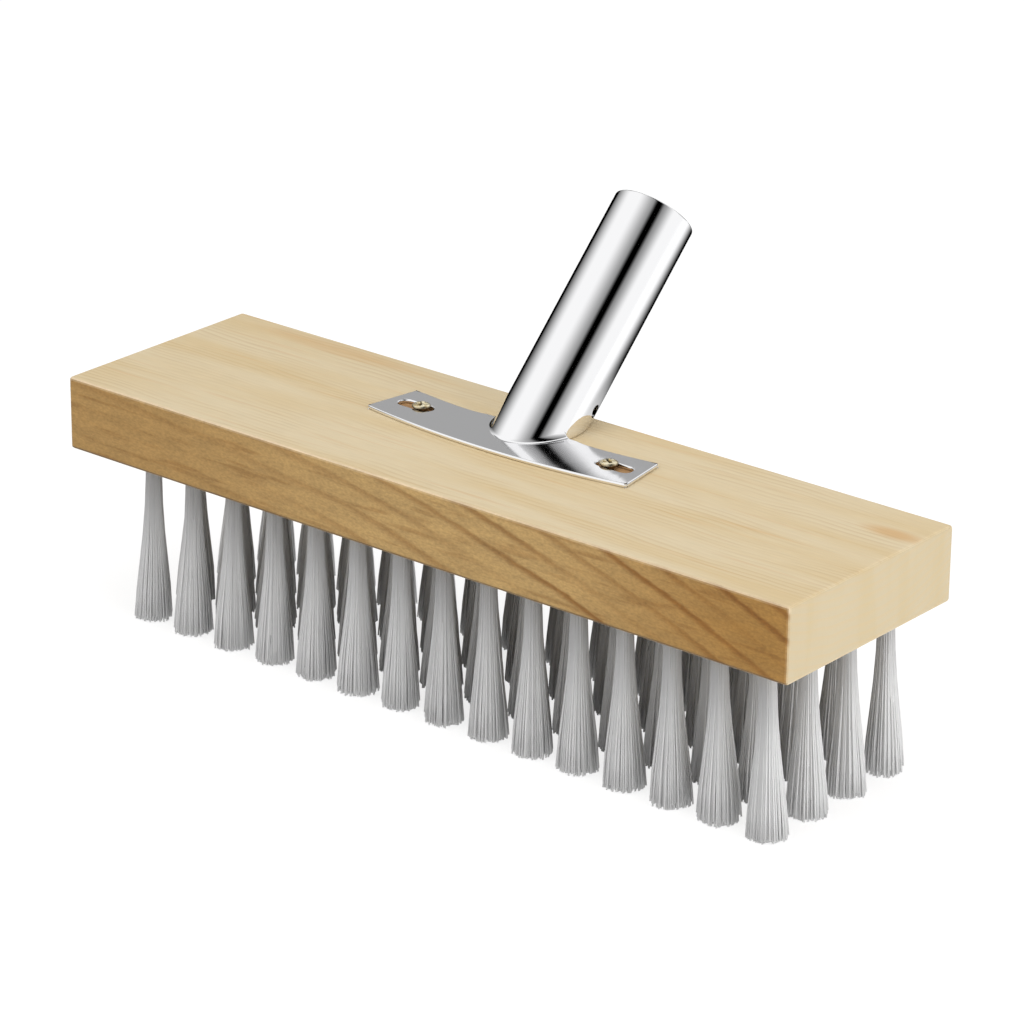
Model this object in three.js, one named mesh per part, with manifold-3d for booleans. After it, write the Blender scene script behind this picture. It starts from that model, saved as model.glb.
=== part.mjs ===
// Floor brush head: a wooden block set with rows of stiff bristle tufts, and a pressed metal
// socket on its top that takes a round handle leaning back.
// Millimetres. +X runs along the block, +Y is the side the handle leans to, +Z is up, and the
// bristle tips stand on z = 0.

import * as THREE from "three";
import { mergeVertices } from "three/addons/utils/BufferGeometryUtils.js";
import Module from "manifold-3d";

// Block
const blockLength = 280;
const blockWidth = 80;
const blockHeight = 24;
const blockCornerRadius = 1.5;
const blockEdgeEase = 0.8;

// Tufted field
const tuftColumns = 15;
const tuftRows = 4;
const columnPitch = 17.1;
const rowPitch = 19.3;
const fieldShift = 5.5;
const endTuftLeanDegrees = 1.6;

// One tuft
const bristleLength = 54.5;
const tuftRootDiameter = 5.4;
const tuftNeckDiameter = 6.2;
const tuftNeckLength = 16;
const tuftTipDiameter = 12.2;
const tuftHoleDepth = 11;
const strandsRoundTuft = 5;
const strandShareOfTuft = 0.34;

// Slice of the block's underside that each row of tufts grows from
const sliceDepth = 1.5;
const sliceMargin = 6;

// Handle socket: one pressed sheet, a tube that leans back and folds out at its foot into a plate
const sheetThickness = 1.3;
const handleBore = 24;
const tubeLeanDegrees = 45;
const tubeLength = 78.2;
const tubeFootY = 21.7;
const foldRadius = 2.5;
const pinHoleDiameter = 4.4;
const pinHoleAlongTube = 12;
const pinHoleTurnDegrees = -20.5;

// Socket plate with two ears, set out from the foot of the tube
const plateLength = 101.6;
const plateReach = 26.1;
const plateFrontBow = 4.5;
const earDepth = 20;
const earTaper = 3.2;
const throatReach = 3.2;
const throatMargin = 1.9;
const throatBendLength = 5.4;
const throatBendDepth = 2;

// Slots, set out from the edges of the ears, and the screws near their inner ends
const slotLength = 13;
const slotWidth = 5;
const slotEndMargin = 5.3;
const slotFrontMargin = 6.9;
const screwFromSlotEnd = 4.3;
const screwHeadDiameter = 5.9;
const screwHeadHeight = 1.4;
const screwHeadRim = 0.4;
const screwShankDiameter = 3.5;
const screwLength = 12;
const screwPointLength = 3.5;
const crossRecessLength = 3.8;
const crossRecessWidth = 1.1;
const crossRecessDepth = 0.9;

// Clearance between pieces that fit into each other, and the facets of round forms
const fitClearance = 0.3;
const cutOvershoot = 5;
const blockCornerSteps = 3;
const blockEdgeSteps = 2;
const tuftHoleSides = 8;
const tubeSides = 48;
const plateCurveSteps = 10;
const foldSteps = 28;
const foldArcSteps = 4;
const screwSides = 20;
const screwDomeSteps = 6;
const pinHoleSides = 16;

// Sizes that follow from the driving ones
const undersideZ = bristleLength;
const blockTopZ = undersideZ + blockHeight;
const tubeRadius = handleBore / 2 + sheetThickness;
const tubeLean = THREE.MathUtils.degToRad(tubeLeanDegrees);
const tubeFoot = new THREE.Vector3(0, tubeFootY, 0);
const tubeAxis = new THREE.Vector3(0, Math.sin(tubeLean), Math.cos(tubeLean));
const tubeFrontNormal = new THREE.Vector3(0, -Math.cos(tubeLean), Math.sin(tubeLean));
const tuftHoleDiameter = tuftRootDiameter + 2 * fitClearance;
const sliceLength = (tuftColumns - 1) * columnPitch + 2 * sliceMargin;
const sliceWidth = 2 * sliceMargin;
const plateFrontY = tubeFootY - plateReach;
const earFrontY = plateFrontY + plateFrontBow;
const throatY = tubeFootY - throatReach;
const slotX = (plateLength - slotLength) / 2 - slotEndMargin;
const slotY = earFrontY + slotFrontMargin + slotWidth / 2;
const screwX = slotX - slotLength / 2 + screwFromSlotEnd;

const wasm = await Module();
wasm.setup();

// Closed solid of a three.js geometry, for joining and cutting.
function toSolid(geometry) {
  const bare = new THREE.BufferGeometry();
  bare.setAttribute("position", geometry.getAttribute("position"));
  bare.setIndex(geometry.getIndex());
  const merged = mergeVertices(bare, 1e-5);
  return new wasm.Manifold(new wasm.Mesh({
    numProp: 3,
    vertProperties: new Float32Array(merged.getAttribute("position").array),
    triVerts: new Uint32Array(merged.getIndex().array),
  }));
}

// Geometry of a solid, ready for a mesh.
function toGeometry(solid) {
  const mesh = solid.getMesh();
  const geometry = new THREE.BufferGeometry();
  geometry.setAttribute("position", new THREE.BufferAttribute(new Float32Array(mesh.vertProperties), 3));
  geometry.setIndex(new THREE.BufferAttribute(new Uint32Array(mesh.triVerts), 1));
  geometry.computeVertexNormals();
  return geometry;
}

function joined(solids) {
  return solids.reduce((whole, piece) => whole.add(piece));
}

function cutAway(solid, tools) {
  return tools.reduce((rest, tool) => rest.subtract(tool), solid);
}

// Upright box by its low and high corners.
function boxSolid(low, high) {
  const size = new THREE.Vector3().subVectors(high, low);
  const centre = new THREE.Vector3().addVectors(low, high).multiplyScalar(0.5);
  const geometry = new THREE.BoxGeometry(size.x, size.y, size.z);
  return toSolid(geometry.translate(centre.x, centre.y, centre.z));
}

// Round bar between two points.
function barSolid(start, end, radius, sides) {
  const along = new THREE.Vector3().subVectors(end, start);
  const geometry = new THREE.CylinderGeometry(radius, radius, along.length(), sides);
  const direction = along.clone().normalize();
  const turn = new THREE.Quaternion().setFromUnitVectors(new THREE.Vector3(0, 1, 0), direction);
  const middle = new THREE.Vector3().addVectors(start, end).multiplyScalar(0.5);
  geometry.applyMatrix4(new THREE.Matrix4().compose(middle, turn, new THREE.Vector3(1, 1, 1)));
  return toSolid(geometry);
}

// Closed solid through rings of points that all have the same count, the first ring to the last.
function loftSolid(rings) {
  const count = rings[0].length;
  const points = rings.flat();
  const faces = [];
  for (let ring = 0; ring < rings.length - 1; ring += 1) {
    for (let side = 0; side < count; side += 1) {
      const next = (side + 1) % count;
      const low = ring * count;
      const high = low + count;
      faces.push(low + side, low + next, high + next);
      faces.push(low + side, high + next, high + side);
    }
  }
  const last = (rings.length - 1) * count;
  for (let side = 1; side < count - 1; side += 1) {
    faces.push(0, side + 1, side);
    faces.push(last, last + side, last + side + 1);
  }
  const geometry = new THREE.BufferGeometry().setFromPoints(points);
  geometry.setIndex(faces);
  return toSolid(geometry);
}

// Tuft roots on the block's underside, one list for each row from the front.
function tuftRootsOfRow(row) {
  const y = (row - (tuftRows - 1) / 2) * rowPitch;
  const middle = (tuftColumns - 1) / 2;
  return Array.from({ length: tuftColumns }, (_, column) => ({
    x: fieldShift + (column - middle) * columnPitch,
    y,
    lean: THREE.MathUtils.degToRad(endTuftLeanDegrees) * (column - middle) / middle,
    turn: (row * tuftColumns + column) * Math.PI * (3 - Math.sqrt(5)),
  }));
}

const tuftRootRows = Array.from({ length: tuftRows }, (_, row) => tuftRootsOfRow(row));

// Blind drilled hole, or the folded root that fills it, standing on the underside.
function tuftRootBar(root, diameter, lowZ, depth) {
  const low = new THREE.Vector3(root.x, root.y, lowZ);
  const high = new THREE.Vector3(root.x, root.y, undersideZ + depth);
  return barSolid(low, high, diameter / 2, tuftHoleSides);
}

// Slice under one row, or the groove that takes it when it is grown by the clearance.
function sliceBox(roots, grow, lowZ) {
  const low = new THREE.Vector3(roots[0].x - sliceMargin - grow, roots[0].y - sliceWidth / 2 - grow, lowZ);
  const high = new THREE.Vector3(low.x + sliceLength + 2 * grow, low.y + sliceWidth + 2 * grow,
    undersideZ + sliceDepth);
  return boxSolid(low, high);
}

// One strand of a tuft: three sided, narrow at the neck, then spreading, and cut flat at the floor.
function strandSolid(root, onRing, direction) {
  const stations = [
    { down: -sliceDepth / 2, radius: tuftRootDiameter / 2 },
    { down: tuftNeckLength, radius: tuftNeckDiameter / 2 },
    { down: bristleLength, radius: tuftTipDiameter / 2 },
  ];
  const rings = stations.map(({ down, radius }) => {
    const strandRadius = radius * strandShareOfTuft;
    const reach = onRing ? radius - strandRadius : 0;
    const centreX = root.x + Math.max(down, 0) * Math.tan(root.lean) + reach * Math.cos(direction);
    const centreY = root.y + reach * Math.sin(direction);
    return [0, 1, 2].map((corner) => {
      const angle = direction - corner * Math.PI * 2 / 3;
      return new THREE.Vector3(centreX + strandRadius * Math.cos(angle),
        centreY + strandRadius * Math.sin(angle), undersideZ - down);
    });
  });
  return loftSolid(rings);
}

function tuftStrands(root) {
  const strands = [strandSolid(root, false, root.turn)];
  for (let strand = 0; strand < strandsRoundTuft; strand += 1) {
    strands.push(strandSolid(root, true, root.turn + strand * Math.PI * 2 / strandsRoundTuft));
  }
  return strands;
}

// One row of tufts with their roots and the slice of backing between them.
function bristleRow(roots) {
  const slice = sliceBox(roots, 0, undersideZ);
  const plugs = roots.map((root) => tuftRootBar(root, tuftRootDiameter, undersideZ + sliceDepth / 2,
    tuftHoleDepth - fitClearance));
  return joined([slice, ...plugs, ...roots.flatMap(tuftStrands)]);
}

// Rectangular block with eased edges, drilled and grooved below and piloted above.
function block() {
  const halfLength = blockLength / 2;
  const halfWidth = blockWidth / 2;
  const r = blockCornerRadius;
  const plan = new THREE.Shape();
  plan.moveTo(-halfLength + r, -halfWidth);
  plan.absarc(halfLength - r, -halfWidth + r, r, -Math.PI / 2, 0);
  plan.absarc(halfLength - r, halfWidth - r, r, 0, Math.PI / 2);
  plan.absarc(-halfLength + r, halfWidth - r, r, Math.PI / 2, Math.PI);
  plan.absarc(-halfLength + r, -halfWidth + r, r, Math.PI, Math.PI * 3 / 2);
  const body = new THREE.ExtrudeGeometry(plan, {
    depth: blockHeight - 2 * blockEdgeEase,
    bevelThickness: blockEdgeEase,
    bevelSize: blockEdgeEase,
    bevelOffset: -blockEdgeEase,
    bevelSegments: blockEdgeSteps,
    curveSegments: blockCornerSteps,
  }).translate(0, 0, undersideZ + blockEdgeEase);
  const belowZ = undersideZ - cutOvershoot;
  const grooves = tuftRootRows.map((row) => sliceBox(row, fitClearance, belowZ));
  const roots = tuftRootRows.flat();
  const holes = roots.map((root) => tuftRootBar(root, tuftHoleDiameter, belowZ, tuftHoleDepth));
  const pilotDepth = screwLength - sheetThickness + fitClearance;
  const pilots = [-1, 1].map((side) => barSolid(
    new THREE.Vector3(side * screwX, slotY, blockTopZ - pilotDepth),
    new THREE.Vector3(side * screwX, slotY, blockTopZ + cutOvershoot),
    screwShankDiameter / 2 + fitClearance, screwSides));
  return cutAway(toSolid(body), [...grooves, ...holes, ...pilots]);
}

// Point at a distance along the tube, on a radius, at an angle from +X towards the tube's front.
function onTube(along, radius, angle) {
  return tubeFoot.clone()
    .addScaledVector(tubeAxis, along)
    .addScaledVector(new THREE.Vector3(1, 0, 0), radius * Math.cos(angle))
    .addScaledVector(tubeFrontNormal, radius * Math.sin(angle));
}

// Distance along the tube at which a line on that radius and angle is at height z above the block.
function alongAtHeight(z, radius, angle) {
  return (z - radius * Math.sin(angle) * tubeFrontNormal.z) / tubeAxis.z;
}

// Tube bar from below the block's top to the mouth, and beyond it by the overshoot when it is a bore.
function tubeBar(radius, overshoot) {
  const below = alongAtHeight(-cutOvershoot, radius, Math.PI / 2);
  return barSolid(onTube(below, 0, 0), onTube(tubeLength + overshoot, 0, 0), radius, tubeSides);
}

function slotPath(side) {
  const r = slotWidth / 2;
  const reach = (slotLength - slotWidth) / 2;
  const path = new THREE.Path();
  path.absarc(side * slotX + reach, slotY, r, -Math.PI / 2, Math.PI / 2);
  path.absarc(side * slotX - reach, slotY, r, Math.PI / 2, Math.PI * 3 / 2);
  path.closePath();
  return path;
}

// Flat plate: bowed front edge, tapered ears, and a back edge that bends up to the sides of the tube.
function plateSolid() {
  const halfLength = plateLength / 2;
  const earBackX = halfLength - earTaper;
  const earBackY = earFrontY + earDepth;
  const throatX = tubeRadius + foldRadius + throatMargin;
  const bendX = throatX + throatBendLength;
  const bendY = throatY - throatBendDepth;
  const outline = new THREE.Shape();
  outline.moveTo(-halfLength, earFrontY);
  outline.quadraticCurveTo(0, plateFrontY - plateFrontBow, halfLength, earFrontY);
  outline.lineTo(earBackX, earBackY);
  outline.quadraticCurveTo(bendX, bendY, throatX, throatY);
  outline.lineTo(-throatX, throatY);
  outline.quadraticCurveTo(-bendX, bendY, -earBackX, earBackY);
  outline.closePath();
  outline.holes.push(slotPath(-1), slotPath(1));
  return toSolid(new THREE.ExtrudeGeometry(outline, {
    depth: sheetThickness,
    bevelEnabled: false,
    curveSegments: plateCurveSteps,
  }));
}

// Fold where the sheet turns from the plate into the front of the tube: a ball of the fold's radius
// rolled round the foot of the tube leaves this fillet.
function foldSolid() {
  const ballHeight = sheetThickness + foldRadius;
  const ballReach = tubeRadius + foldRadius;
  const ballAt = (angle) => onTube(alongAtHeight(ballHeight, ballReach, angle), ballReach, angle);
  const sideY = ballAt(0).y;
  const endAngle = Math.asin((sideY - throatY) / (sideY - ballAt(Math.PI / 2).y));
  const down = new THREE.Vector3(0, 0, -1);
  const rings = [];
  for (let step = 0; step <= foldSteps; step += 1) {
    const angle = endAngle + (Math.PI - 2 * endAngle) * step / foldSteps;
    const ball = ballAt(angle);
    const inward = onTube(0, 0, 0).sub(onTube(0, 1, angle));
    const sweep = down.angleTo(inward);
    const ring = [];
    for (let arc = 0; arc <= foldArcSteps; arc += 1) {
      const part = sweep * arc / foldArcSteps;
      ring.push(ball.clone()
        .addScaledVector(down, foldRadius * Math.sin(sweep - part) / Math.sin(sweep))
        .addScaledVector(inward, foldRadius * Math.sin(part) / Math.sin(sweep)));
    }
    const rootRadius = tubeRadius - sheetThickness / 2;
    const rootHeight = sheetThickness / 2;
    ring.push(onTube(alongAtHeight(rootHeight, rootRadius, angle), rootRadius, angle));
    rings.push(ring);
  }
  return loftSolid(rings);
}

// Socket of one pressed sheet, with its underside on z = 0.
function handleSocket() {
  const reach = blockLength + tubeLength;
  const underTop = boxSolid(new THREE.Vector3(-reach, -reach, -reach), new THREE.Vector3(reach, reach, 0));
  const tube = tubeBar(tubeRadius, 0).subtract(underTop);
  const pinTurn = THREE.MathUtils.degToRad(pinHoleTurnDegrees);
  const pinHole = barSolid(onTube(pinHoleAlongTube, handleBore / 4, pinTurn),
    onTube(pinHoleAlongTube, tubeRadius + cutOvershoot, pinTurn), pinHoleDiameter / 2, pinHoleSides);
  const bore = tubeBar(handleBore / 2, cutOvershoot);
  return cutAway(joined([plateSolid(), tube, foldSolid()]), [bore, pinHole]);
}

// Pan head screw with a cross recess, its head's underside on z = 0.
function screw() {
  const headRadius = screwHeadDiameter / 2;
  const shankRadius = screwShankDiameter / 2;
  const domeHeight = screwHeadHeight - screwHeadRim;
  const dome = new THREE.EllipseCurve(0, screwHeadRim, headRadius, domeHeight, 0, Math.PI / 2);
  const profile = [
    new THREE.Vector2(0, -screwLength),
    new THREE.Vector2(shankRadius, screwPointLength - screwLength),
    new THREE.Vector2(shankRadius, 0),
    new THREE.Vector2(headRadius, 0),
    ...dome.getPoints(screwDomeSteps - 1).slice(0, -1),
    new THREE.Vector2(0, screwHeadHeight),
  ];
  const turned = toSolid(new THREE.LatheGeometry(profile, screwSides).rotateX(Math.PI / 2));
  const long = crossRecessLength / 2;
  const short = crossRecessWidth / 2;
  const floorZ = screwHeadHeight - crossRecessDepth;
  const topZ = screwHeadHeight + cutOvershoot;
  const recess = [[long, short], [short, long]].map(([x, y]) => boxSolid(
    new THREE.Vector3(-x, -y, floorZ), new THREE.Vector3(x, y, topZ)));
  return cutAway(turned, recess);
}

function finish(colour, roughness, metalness) {
  return new THREE.MeshStandardMaterial({ color: colour, roughness, metalness });
}

function node(name, solid, material) {
  const mesh = new THREE.Mesh(toGeometry(solid), material);
  mesh.name = name;
  return mesh;
}

// The frame's middle lies halfway between the block's front and the back of the socket's mouth.
const backmostY = onTube(tubeLength, tubeRadius, -Math.PI / 2).y;
const floorBrushHead = new THREE.Group();
floorBrushHead.position.y = -(backmostY - blockWidth / 2) / 2;

floorBrushHead.add(node("block", block(), finish(0xdcc39a, 0.7, 0)));
tuftRootRows.forEach((roots, row) => {
  floorBrushHead.add(node(`bristle_row_${row + 1}`, bristleRow(roots), finish(0xc9c9c9, 0.6, 0)));
});

const onBlock = new THREE.Group();
onBlock.position.z = blockTopZ;
onBlock.add(node("handle_socket", handleSocket(), finish(0xd4d6d8, 0.08, 1)));
[["screw_left", -1], ["screw_right", 1]].forEach(([name, side]) => {
  const fastener = node(name, screw(), finish(0xcdb069, 0.3, 1));
  fastener.position.set(side * screwX, slotY, sheetThickness);
  onBlock.add(fastener);
});
floorBrushHead.add(onBlock);

export default floorBrushHead;
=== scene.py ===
"""Looks of the floor brush head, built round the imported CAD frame.

The head has four sub-assemblies: a drilled wooden block, four rows of bristle tufts, a pressed and
plated handle socket, and the two screws that hold it. Sizes are in metres, in the frame's own axes:
+X along the block, +Y the way the handle leans, +Z up from the bristle tips. Only the wood's grain is
laid out in millimetres.
"""

import logging
import math
from collections.abc import Sequence
from dataclasses import dataclass
from enum import Enum
from typing import Any

import bmesh
import bpy
from mathutils import Matrix, Vector


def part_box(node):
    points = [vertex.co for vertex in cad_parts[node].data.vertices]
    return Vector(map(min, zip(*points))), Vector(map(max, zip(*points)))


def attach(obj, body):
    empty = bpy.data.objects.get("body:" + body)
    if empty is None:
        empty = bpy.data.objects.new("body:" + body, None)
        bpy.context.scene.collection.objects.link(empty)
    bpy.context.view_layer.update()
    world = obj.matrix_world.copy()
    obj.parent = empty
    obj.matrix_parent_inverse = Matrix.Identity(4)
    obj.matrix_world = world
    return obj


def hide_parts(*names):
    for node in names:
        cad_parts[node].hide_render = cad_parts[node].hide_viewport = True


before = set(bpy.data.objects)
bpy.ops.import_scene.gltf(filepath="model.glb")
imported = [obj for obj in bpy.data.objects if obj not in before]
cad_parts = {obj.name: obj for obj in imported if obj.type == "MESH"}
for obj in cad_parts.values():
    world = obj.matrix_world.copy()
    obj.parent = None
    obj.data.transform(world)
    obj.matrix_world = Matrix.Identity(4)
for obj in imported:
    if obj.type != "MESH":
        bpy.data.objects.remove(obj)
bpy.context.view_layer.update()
BLOCK_LOW, BLOCK_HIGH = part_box("block")
BLOCK_TOP = Vector((0.0, (BLOCK_LOW.y + BLOCK_HIGH.y) / 2, BLOCK_HIGH.z))
LOG = logging.getLogger("floor_brush_head")
MM = 0.001
GOLDEN_ANGLE = math.pi * (3 - math.sqrt(5))
ALONG_X = (1.0, 0.0, 0.0)
ALONG_Y = (0.0, 1.0, 0.0)
ALONG_STRIPE = (-0.69, 0.724, 0.0)
STRIPE_FACING = (-0.449, 0.175, -0.876)
Rgb = tuple[float, float, float]
Xyz = tuple[float, float, float]
Pair = tuple[float, float]


class InputKind(Enum):
    """Kinds of named input that a Geometry Nodes tree has."""

    GEOMETRY = "NodeSocketGeometry"
    COUNT = "NodeSocketInt"
    SIZE = "NodeSocketFloat"
    PLACE = "NodeSocketVector"
    FINISH = "NodeSocketMaterial"


class SeenBy(Enum):
    """Rays that see the white studio: the camera's own, and those off metal and through clear parts."""

    CAMERA = "Is Camera Ray"
    METAL = "Is Glossy Ray"
    CLEAR = "Is Transmission Ray"


class Draw(Enum):
    """Random draws of a row of tufts, by what is added to the row's seed."""

    TURN = 1
    TUFT_SIZE = 2
    REACH = 3
    SHORTNESS = 4
    STRAY_ALONG = 5
    STRAY_ACROSS = 6
    TONE = 7
    SPLAY = 8


class Expr:
    """A node's output that stands in Python arithmetic; every operation adds one Math node."""

    def __init__(self, graph: "Graph", socket: bpy.types.NodeSocket) -> None:
        """Wraps an output socket of a graph."""
        self.graph = graph
        self.socket = socket

    def math(self, operation: str, *terms: "Expr | float") -> "Expr":
        """Adds a Math node.

        Args:
            operation: The node's operation.
            terms: The node's inputs, in order.

        Returns:
            The node's value.
        """
        return self.graph.add("ShaderNodeMath", dict(enumerate(terms)), operation=operation)["Value"]

    def __add__(self, other: "Expr | float") -> "Expr":
        """Sum of the two."""
        return self.math("ADD", self, other)

    def __sub__(self, other: "Expr | float") -> "Expr":
        """This less the other."""
        return self.math("SUBTRACT", self, other)

    def __rsub__(self, other: float) -> "Expr":
        """The other less this."""
        return self.math("SUBTRACT", other, self)

    def __mul__(self, other: "Expr | float") -> "Expr":
        """Product of the two."""
        return self.math("MULTIPLY", self, other)

    def __truediv__(self, other: "Expr | float") -> "Expr":
        """This over the other."""
        return self.math("DIVIDE", self, other)

    def __rtruediv__(self, other: float) -> "Expr":
        """The other over this."""
        return self.math("DIVIDE", other, self)

    def __pow__(self, other: "Expr | float") -> "Expr":
        """This to the power of the other."""
        return self.math("POWER", self, other)

    __radd__ = __add__
    __rmul__ = __mul__

    def floor(self) -> "Expr":
        """Whole part."""
        return self.math("FLOOR", self)

    def fract(self) -> "Expr":
        """Part past the whole number."""
        return self.math("FRACT", self)

    def sqrt(self) -> "Expr":
        """Square root."""
        return self.math("SQRT", self)

    def sin(self) -> "Expr":
        """Sine."""
        return self.math("SINE", self)

    def cos(self) -> "Expr":
        """Cosine."""
        return self.math("COSINE", self)

    def size(self) -> "Expr":
        """Value without its sign."""
        return self.math("ABSOLUTE", self)

    def at_least(self, low: "Expr | float") -> "Expr":
        """The larger of the two."""
        return self.math("MAXIMUM", self, low)

    def rise(self, low: "Expr | float", high: "Expr | float") -> "Expr":
        """Smooth step from nought to one.

        Args:
            low: Value at and below which the step is nought.
            high: Value at and above which it is one.

        Returns:
            The step's height.
        """
        sockets = {"Value": self, "From Min": low, "From Max": high}
        return self.graph.add("ShaderNodeMapRange", sockets, interpolation_type="SMOOTHSTEP")["Result"]


class Placed:
    """A node in a graph, whose outputs are read by identifier, name or number."""

    def __init__(self, graph: "Graph", node: bpy.types.Node) -> None:
        """Wraps a node of a graph."""
        self.graph = graph
        self.node = node

    def __getitem__(self, key: str | int) -> Expr:
        """Output of the node."""
        return Expr(self.graph, find_socket(self.node.outputs, key))


class Graph:
    """Writes the nodes of one shader or Geometry Nodes tree."""

    def __init__(self, tree: bpy.types.NodeTree) -> None:
        """Starts on an emptied tree."""
        self.tree = tree
        tree.nodes.clear()

    def add(self, kind: str, sockets: dict[str | int, Any] | None = None, **settings: Any) -> Placed:
        """Adds a node.

        Args:
            kind: The node's type.
            sockets: Values or links of its inputs, by identifier, name or number.
            settings: The node's own settings, which are set first.

        Returns:
            The node.
        """
        node = self.tree.nodes.new(kind)
        for name, value in settings.items():
            setattr(node, name, value)
        for key, value in (sockets or {}).items():
            socket = find_socket(node.inputs, key)
            if isinstance(value, Expr):
                self.tree.links.new(value.socket, socket)
            else:
                socket.default_value = value
        return Placed(self, node)

    def vector(self, x: Expr | float, y: Expr | float, z: Expr | float) -> Expr:
        """Vector of three values."""
        return self.add("ShaderNodeCombineXYZ", {"X": x, "Y": y, "Z": z})["Vector"]

    def object_place(self) -> tuple[Expr, Expr, Expr]:
        """Object coordinates of the surface.

        Returns:
            The three coordinates, in metres.
        """
        place = self.add("ShaderNodeTexCoord")["Object"]
        axes = self.add("ShaderNodeSeparateXYZ", {"Vector": place})
        return axes["X"], axes["Y"], axes["Z"]

    def noise(self, place: Sequence[Expr | float], detail: float = 2.0) -> Expr:
        """Smooth noise.

        Args:
            place: Three coordinates, in lumps of noise.
            detail: Octaves of finer noise on it.

        Returns:
            A value from nought to one.
        """
        sockets = {"Vector": self.vector(*place), "Scale": 1.0, "Detail": detail}
        return self.add("ShaderNodeTexNoise", sockets)[0]

    def lumps(self, place: Sequence[Expr], lump: Xyz, detail: float = 2.0) -> Expr:
        """Smooth noise, by the length, width and height of its lumps."""
        return self.noise([axis / size for axis, size in zip(place, lump)], detail)

    def mix(self, share: Expr | float, first: Expr | Rgb, second: Expr | Rgb, blend: str = "MIX") -> Expr:
        """Mixes two colours.

        Args:
            share: Share of the second.
            first: First colour.
            second: Second colour.
            blend: How the second goes on the first.

        Returns:
            The mixed colour.
        """
        low, high = (colour if isinstance(colour, Expr) else (*colour, 1.0) for colour in (first, second))
        sockets = {"Factor_Float": share, "A_Color": low, "B_Color": high}
        return self.add("ShaderNodeMix", sockets, data_type="RGBA", blend_type=blend)["Result_Color"]

    def attribute(self, name: str) -> Expr:
        """Value of a mesh attribute."""
        return self.add("ShaderNodeAttribute", attribute_name=name)["Fac"]

    def seen_white(self) -> Expr:
        """Finds the rays that see the white studio.

        Returns:
            One for those rays, and nought for the rest.
        """
        path = self.add("ShaderNodeLightPath")
        camera, metal, clear = (path[ray.value] for ray in SeenBy)
        return camera.at_least(metal).at_least(clear)

    def end(self, shader: Expr) -> None:
        """Ends a material in a shader."""
        self.add("ShaderNodeOutputMaterial", {"Surface": shader})

    def end_mixed(self, share: Expr | float, first: Expr, second: Expr) -> None:
        """Ends a material in two shaders, mixed by the share of the second."""
        self.end(self.add("ShaderNodeMixShader", {"Fac": share, 1: first, 2: second})[0])

    def surface(self, sockets: dict[str | int, Any]) -> None:
        """Ends a material in one Principled shader, by the values or links of its inputs."""
        self.end(self.add("ShaderNodeBsdfPrincipled", sockets)[0])


def find_socket(sockets: Any, key: str | int) -> bpy.types.NodeSocket:
    """Finds a socket of a node.

    Args:
        sockets: The node's inputs or outputs.
        key: Identifier, name or number.

    Returns:
        The socket.
    """
    if isinstance(key, int):
        return sockets[key]
    for socket in sockets:
        if socket.identifier == key:
            return socket
    return sockets[key]


def new_material(name: str) -> tuple[bpy.types.Material, Graph]:
    """Makes an empty material.

    Args:
        name: Its name.

    Returns:
        The material and the graph of its nodes.
    """
    material = bpy.data.materials.new(name)
    material.use_nodes = True
    return material, Graph(material.node_tree)


def new_object(name: str, data: Any) -> bpy.types.Object:
    """Links a mesh, lamp or camera into the scene as an object at the origin.

    Args:
        name: The object's name.
        data: Its mesh, lamp or camera.

    Returns:
        The object.
    """
    obj = bpy.data.objects.new(name, data)
    bpy.context.scene.collection.objects.link(obj)
    return obj


def mesh_of(bm: bmesh.types.BMesh, name: str) -> bpy.types.Mesh:
    """Turns a bmesh into a mesh and frees it.

    Args:
        bm: The bmesh.
        name: The mesh's name.

    Returns:
        The mesh.
    """
    mesh = bpy.data.meshes.new(name)
    bm.to_mesh(mesh)
    bm.free()
    return mesh


def add_strips(bm: bmesh.types.BMesh, columns: Sequence[Sequence[bmesh.types.BMVert]]) -> None:
    """Fills quads between neighbouring columns of points.

    Args:
        bm: Where the skin is made.
        columns: Columns of the same count of points.
    """
    for left, right in zip(columns, columns[1:]):
        for row in range(len(left) - 1):
            bm.faces.new((left[row], right[row], right[row + 1], left[row + 1]))


def settle(obj: bpy.types.Object) -> None:
    """Turns an object with its modifiers into a plain mesh without them.

    Args:
        obj: The object.
    """
    depsgraph = bpy.context.evaluated_depsgraph_get()
    evaluated = obj.evaluated_get(depsgraph)
    plain = bpy.data.meshes.new_from_object(evaluated, preserve_all_data_layers=True, depsgraph=depsgraph)
    obj.modifiers.clear()
    obj.data = plain


def cut_by(obj: bpy.types.Object, cutter: bpy.types.Mesh) -> None:
    """Cuts a closed mesh out of an object.

    Args:
        obj: The object that is cut.
        cutter: The closed mesh that is taken away.
    """
    tool = new_object("cutter", cutter)
    modifier = obj.modifiers.new("cut", "BOOLEAN")
    modifier.operation = "DIFFERENCE"
    modifier.solver = "EXACT"
    modifier.object = tool
    settle(obj)
    bpy.data.objects.remove(tool)


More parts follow.
